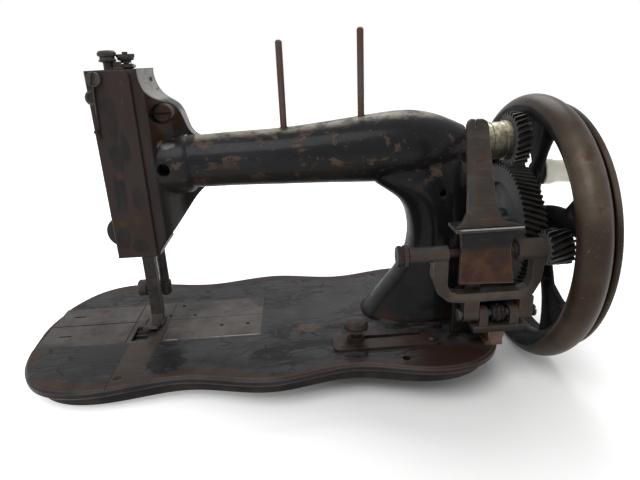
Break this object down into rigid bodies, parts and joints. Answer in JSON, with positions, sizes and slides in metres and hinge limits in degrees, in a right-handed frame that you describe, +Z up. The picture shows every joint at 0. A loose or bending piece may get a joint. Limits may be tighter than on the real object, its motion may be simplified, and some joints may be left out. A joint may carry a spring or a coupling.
{
  "type": "sewing machine",
  "caption": "Antique lockstitch sewing machine with a wavy flat bed, round arm, flat head, geared spoked handwheel with crank grip and a hinged bobbin winder.",
  "frame": {"origin": "centre of the four hold-down holes, on the plane of the bed's underside", "axes": "+X along the arm towards the handwheel, +Y away from the operator, +Z up"},
  "size_m": [0.4878, 0.2206, 0.2743],
  "materials": {
    "bed_japan": "worn black japanning, scuffed grey-brown on the flat",
    "arm_japan": "worn glossy black japanning with brown chips",
    "face_paint": "dull purplish brown with dark smears",
    "plate_steel": "stained grey-brown steel",
    "bar_steel": "dark gunmetal, bright on worn edges",
    "bush_nickel": "speckled yellow nickel",
    "gear_iron": "near black, dusty on the flat face",
    "wheel_iron": "satin brown patina on the rim, black spokes",
    "pin_rust": "dark rust brown",
    "winder_iron": "dark grey-brown iron with rust",
    "porcelain": "cream porcelain"
  },
  "bodies": {
    "frame": {"bed": "bed_japan", "needle_plate": "plate_steel", "bed_plate_rear": "plate_steel", "bed_plate_front": "plate_steel", "shuttle_race": "plate_steel", "arm": "arm_japan", "face_plate": "face_paint", "rear_cover": "arm_japan", "pivot_screw": "bar_steel", "thread_guide": "arm_japan", "spool_pin_left": "pin_rust", "spool_pin_right": "pin_rust", "lifter_pin": "bar_steel", "tension_post": "bar_steel", "tension_discs": "bar_steel", "bush_right": "bush_nickel", "bush_left": "bush_nickel", "wheel_stud": "bar_steel", "stud_nut": "bar_steel", "hinge_block": "winder_iron", "hinge_pin": "bar_steel", "winder_post": "winder_iron", "regulator_plate": "plate_steel"},
    "wheel": {"handwheel": "wheel_iron", "drive_gear": "gear_iron", "handle_spindle": "bar_steel"},
    "grip": {"handle_grip": "porcelain"},
    "shaft": {"arm_shaft": "bar_steel", "shaft_gear": "gear_iron", "needle_crank": "bar_steel"},
    "yoke": {"winder_yoke": "winder_iron", "lever_pin": "bar_steel"},
    "spindle": {"winder_spindle": "bar_steel", "winder_pinion": "gear_iron"},
    "centre": {"winder_centre": "bar_steel"},
    "lever": {"guide_lever": "winder_iron"},
    "needle": {"needle_bar": "bar_steel", "needle_clamp": "bar_steel"},
    "clamp_thumb": {"clamp_screw": "bar_steel"},
    "presser": {"presser_bar": "bar_steel", "presser_foot": "bar_steel"},
    "lifter": {"presser_lifter": "arm_japan"},
    "pressure": {"pressure_screw": "bar_steel"},
    "tension": {"tension_nut": "bar_steel"},
    "regulator": {"regulator_screw": "bar_steel"},
    "cover_rear": {"slide_plate_rear": "plate_steel"},
    "cover_front": {"slide_plate_front": "plate_steel"},
    "shuttle": {"shuttle_carrier": "plate_steel", "shuttle": "plate_steel"},
    "feed": {"feed_dog": "plate_steel"}
  },
  "joints": [
    {"name": "wheel_turn", "type": "hinge", "parent": "frame", "child": "wheel", "pos_m": [0.229, 0.004, 0.0865], "axis": [1, 0, 0], "continuous": true},
    {"name": "grip_spin", "type": "hinge", "parent": "wheel", "child": "grip", "pos_m": [0.275, 0.00961, 0.13216], "axis": [1, 0, 0], "continuous": true},
    {"name": "shaft_turn", "type": "hinge", "parent": "frame", "child": "shaft", "pos_m": [0.1, 0.004, 0.1615], "axis": [1, 0, 0], "continuous": true},
    {"name": "yoke_swing", "type": "hinge", "parent": "frame", "child": "yoke", "pos_m": [0.18, -0.06175, 0.041], "axis": [1, 0, 0], "range_deg": [0, 6]},
    {"name": "spindle_turn", "type": "hinge", "parent": "yoke", "child": "spindle", "pos_m": [0.22, -0.06175, 0.09225], "axis": [1, 0, 0], "continuous": true},
    {"name": "centre_slide", "type": "slide", "parent": "yoke", "child": "centre", "axis": [-1, 0, 0], "range_m": [0, 0.006]},
    {"name": "lever_tip", "type": "hinge", "parent": "yoke", "child": "lever", "pos_m": [0.163, -0.05375, 0.1075], "axis": [-1, 0, 0], "range_deg": [0, 15]},
    {"name": "needle_slide", "type": "slide", "parent": "frame", "child": "needle", "axis": [0, 0, 1], "range_m": [-0.004, 0.024]},
    {"name": "clamp_turn", "type": "hinge", "parent": "needle", "child": "clamp_thumb", "pos_m": [-0.105, 0.016, 0.0455], "axis": [1, 0, 0], "continuous": true},
    {"name": "presser_lift", "type": "slide", "parent": "frame", "child": "presser", "axis": [0, 0, 1], "range_m": [0, 0.008]},
    {"name": "lifter_turn", "type": "hinge", "parent": "frame", "child": "lifter", "pos_m": [-0.102, -0.007, 0.106], "axis": [0, 1, 0], "range_deg": [0, 70]},
    {"name": "pressure_turn", "type": "hinge", "parent": "frame", "child": "pressure", "pos_m": [-0.1, 0.002, 0.236], "axis": [0, 0, 1], "continuous": true},
    {"name": "tension_turn", "type": "hinge", "parent": "frame", "child": "tension", "pos_m": [-0.089, 0.009, 0.235], "axis": [0, 0, 1], "continuous": true},
    {"name": "regulator_slide", "type": "slide", "parent": "frame", "child": "regulator", "axis": [1, 0, 0], "range_m": [0, 0.05]},
    {"name": "cover_rear_slide", "type": "slide", "parent": "frame", "child": "cover_rear", "axis": [-1, 0, 0], "range_m": [0, 0.06]},
    {"name": "cover_front_slide", "type": "slide", "parent": "frame", "child": "cover_front", "axis": [-1, 0, 0], "range_m": [0, 0.06]},
    {"name": "shuttle_slide", "type": "slide", "parent": "frame", "child": "shuttle", "axis": [1, 0, 0], "range_m": [-0.041, 0.041]},
    {"name": "feed_lift", "type": "slide", "parent": "frame", "child": "feed", "axis": [0, 0, 1], "range_m": [-0.0025, 0]}
  ],
  "couplings": [
    {"joint": "shaft_turn", "follows": "wheel_turn", "ratio": -2.5714},
    {"joint": "spindle_turn", "follows": "wheel_turn", "ratio": -4.5}
  ]
}
